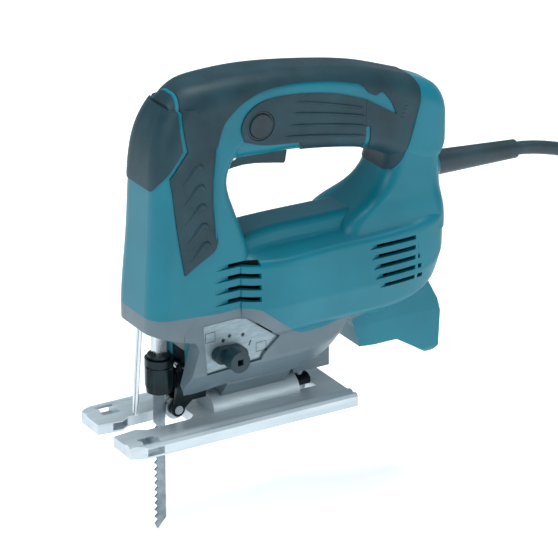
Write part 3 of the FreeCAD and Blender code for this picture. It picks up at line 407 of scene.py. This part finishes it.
panelMarks = {
    "dots": [(28.5, 55.5), (32.6, 57.4), (41.2, 56.3)],
    "dotSize": (2.4, 0.03),
    "barSize": (0.9, 0.03),
    "lineSize": (0.35, 0.03),
    "bar": [(45.0, 48.6), (46.4, 52.0)],
    "frames": [(20.2, 59.2, 6.2, 5.6), (53.0, 46.6, 6.4, 5.4)],
}


def outlineOf(x, z, w, h):
    corners = [(x - w / 2, z - h / 2), (x + w / 2, z - h / 2), (x + w / 2, z + h / 2), (x - w / 2, z + h / 2)]
    return [[a, b] for a, b in zip(corners, corners[1:] + corners[:1])]


ink = (darkMark, "black_nylon")
dotPaths = [[(x - 1.2, z), (x + 1.2, z)] for x, z in panelMarks["dots"]]
framePaths = [line for spot in panelMarks["frames"] for line in outlineOf(*spot)]
stripPiece("panelDots", dotPaths, panelMarks["dotSize"], "left", *ink, steps=10, taper=0.5, sinkMm=0.1)
stripPiece("panelBar", [panelMarks["bar"]], panelMarks["barSize"], "left", *ink, steps=8, taper=0.1,
           sinkMm=0.1)
stripPiece("panelFrames", framePaths, panelMarks["lineSize"], "left", *ink, steps=6, across=2, taper=0,
           sinkMm=0.1)
print("stage: relief on the grips and the lever panel")


# Cord: leaves its guard, falls to the floor and is put away in a hank held by a strap
cordFacts = {
    "diameterMm": 8.0,
    "exit": (235.93, 0.0, 120.672),
    "route": [
        (254, -0.5, 119.8), (302, -9, 103), (311, -20, 52), (313, -30, 4), (322, -34.5, -38), (356, -36, -58),
        (390, -36, -58)],
    "folds": (388.0, 468.0),
    "middleY": -2.0,
    "turns": [(34.2, 0), (25.9, 0), (25.9, 1), (34.2, 1), (34.2, 2), (25.9, 2)],  # fold radius and layer
    "lowestZ": -57.5,
    "layerMm": 8.15,
    "stepsPerFold": 8,
    "stepsPerRun": 4,
    "tail": [(458, 24, -40.8), (446, 24, -37.6), (436, 24, -32.4), (425, 24, -29.9), (410, 24, -29.9)],
}


def hankPoints():
    made = []
    front, rear = cordFacts["folds"]
    folds, runs, y0 = cordFacts["stepsPerFold"], cordFacts["stepsPerRun"], cordFacts["middleY"]
    places = [(r, cordFacts["lowestZ"] + layer * cordFacts["layerMm"]) for r, layer in cordFacts["turns"]]
    for turn, (r, z) in enumerate(places):
        made += [(front + (rear - front) * i / runs, y0 - r, z) for i in range(1, runs)]
        for i in range(folds + 1):
            angle = math.pi * (i / folds - 0.5)
            made.append((rear + r * math.cos(angle), y0 + r * math.sin(angle), z))
        if turn + 1 == len(places):
            break
        nextR, nextZ = places[turn + 1]
        for i in range(1, runs):
            t = i / runs
            t = t * t * (3 - 2 * t)
            made.append((rear - (rear - front) * i / runs, y0 + r + (nextR - r) * t, z + (nextZ - z) * t))
        for i in range(folds + 1):
            angle = math.pi * (i / folds + 0.5)
            made.append((front + nextR * math.cos(angle), y0 + nextR * math.sin(angle), nextZ))
    return made


def makeCord():
    points = [cordFacts["exit"]] + cordFacts["route"] + hankPoints() + cordFacts["tail"]
    curve = bpy.data.curves.new("powerCord", "CURVE")
    curve.dimensions = "3D"
    spline = curve.splines.new("NURBS")
    spline.points.add(len(points) - 1)
    for spot, (x, y, z) in zip(spline.points, points):
        spot.co = (x * mm, y * mm, z * mm, 1)
    spline.order_u = 3
    spline.use_endpoint_u = True
    curve.resolution_u = 6
    curve.bevel_depth = cordFacts["diameterMm"] / 2 * mm
    curve.bevel_resolution = 5
    curve.use_fill_caps = True
    obj = bpy.data.objects.new("powerCord", curve)
    bpy.context.scene.collection.objects.link(obj)
    obj.data.materials.append(cordVinyl)
    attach(obj, "frame")
    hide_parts("power_cord", "cord_hank")
    return obj


powerCord = makeCord()

plugSizes = {"start": (426.0, 24.0, -29.9), "reliefMm": 23.0, "bodyMm": (32.0, 28.0, 14.0), "ribs": 5}


def makePlug():
    x0, y0, z0 = plugSizes["start"]
    long, wide, thick = plugSizes["bodyMm"]
    bm = bmesh.new()
    # contour body along +X: a box, narrower at the cord end, rounded all along
    body = bmesh.ops.create_cube(bm, size=1.0)["verts"]
    for v in body:
        slim = (0.62, 0.86) if v.co.x < 0 else (1.0, 1.0)
        along = plugSizes["reliefMm"] + long * (v.co.x + 0.5)
        v.co = Vector((along, wide * v.co.y * slim[0], thick * v.co.z * slim[1]))
    bmesh.ops.bevel(bm, geom=list(bm.edges), offset=3.2, affect="EDGES", segments=5, profile=0.5, material=-1)
    # grip ribs across both flat faces
    for side in (-1, 1):
        for i in range(plugSizes["ribs"]):
            rib = bmesh.ops.create_cube(bm, size=1.0)["verts"]
            x = plugSizes["reliefMm"] + 9.0 + 3.4 * i
            for v in rib:
                lift = side * (thick / 2 - 1.4) + v.co.z * 2.4
                v.co = Vector((x + v.co.x * 1.4, v.co.y * (13.0 + 1.4 * i), lift))
            ribEdges = list({e for v in rib for e in v.link_edges})
            bmesh.ops.bevel(
                bm, geom=ribEdges, offset=0.45, affect="EDGES", segments=2, profile=0.5, material=-1)
    # ringed strain relief, spun round the cord
    profile = [(0.0, 4.05), (0.4, 4.6)]
    for i in range(6):
        foot, start = 4.7 + 0.16 * i, 1.6 + 3.2 * i
        profile += [(start, foot), (start + 0.6, foot + 0.8), (start + 2.0, foot + 0.85), (start + 2.6, foot)]
    profile += [(24.5, 5.8)]
    line = [bm.verts.new((x, 0, r)) for x, r in profile]
    edges = [bm.edges.new(pair) for pair in zip(line, line[1:])]
    bmesh.ops.spin(
        bm, geom=line + edges, cent=(0, 0, 0), axis=(1, 0, 0), angle=2 * math.pi, steps=28, use_merge=True)
    bmesh.ops.remove_doubles(bm, verts=bm.verts, dist=1e-4)
    bmesh.ops.holes_fill(bm, edges=[e for e in bm.edges if e.is_boundary], sides=0)
    bmesh.ops.recalc_face_normals(bm, faces=bm.faces)
    there = Matrix.Translation(Vector((x0, y0, z0)) * mm)
    place = there @ Matrix.Rotation(math.pi, 4, "Z") @ Matrix.Scale(mm, 4)
    bmesh.ops.transform(bm, matrix=place, verts=bm.verts)
    plug = pieceFrom(bm, "plugMoulding", cordVinyl, "frame", 40.0)
    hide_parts("plug_body")
    return plug


plugMoulding = makePlug()

strapSizes = {
    "innerMm": -22.95, "outerMm": -41.05, "lowMm": -62.35, "highMm": -36.1, "widthMm": 12.0, "thickMm": 0.8}


def makeStrap():
    x0 = sum(cordFacts["folds"]) / 2
    bm = bmesh.new()
    loop = bmesh.ops.create_cube(bm, size=1.0)["verts"]
    low, high = strapSizes["lowMm"], strapSizes["highMm"]
    inner, outer = strapSizes["innerMm"], strapSizes["outerMm"]
    for v in loop:
        v.co = Vector((x0 + v.co.x * strapSizes["widthMm"], (inner + outer) / 2 + v.co.y * (outer - inner),
                       (low + high) / 2 + v.co.z * (high - low)))
    bm.normal_update()
    ends = [f for f in bm.faces if abs(f.normal.x) > 0.9]
    bmesh.ops.delete(bm, geom=ends, context="FACES_ONLY")
    corners = [e for e in bm.edges if not e.is_boundary]
    bmesh.ops.bevel(bm, geom=corners, offset=4.4, affect="EDGES", segments=6, profile=0.5, material=-1)
    bmesh.ops.recalc_face_normals(bm, faces=bm.faces)
    bmesh.ops.solidify(bm, geom=list(bm.faces), thickness=strapSizes["thickMm"])
    bmesh.ops.transform(bm, matrix=Matrix.Scale(mm, 4), verts=bm.verts)
    bmesh.ops.recalc_face_normals(bm, faces=bm.faces)
    strap = pieceFrom(bm, "hankStrap", loopStrap, "frame", 45.0)
    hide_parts("cord_tie")
    return strap


hankStrap = makeStrap()
print("stage: cord, plug and strap")


# Floor and surroundings
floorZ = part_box("saw_blade")[0][2] - 0.0002


def makeFloor():
    bm = bmesh.new()
    bmesh.ops.create_grid(bm, x_segments=1, y_segments=1, size=12.0)
    bmesh.ops.translate(bm, vec=(0, 0, floorZ), verts=bm.verts)
    mesh = bpy.data.meshes.new("studioFloor")
    bm.to_mesh(mesh)
    bm.free()
    floor = bpy.data.objects.new("studioFloor", mesh)
    bpy.context.scene.collection.objects.link(floor)
    coat(floor, palePaint)


makeFloor()
world = bpy.data.worlds.new("studioWorld")
world.use_nodes = True
world.node_tree.nodes["Background"].inputs["Color"].default_value = (0.86, 0.96, 1.0, 1.0)
world.node_tree.nodes["Background"].inputs["Strength"].default_value = 0.38
bpy.context.scene.world = world
print("stage: floor and world")
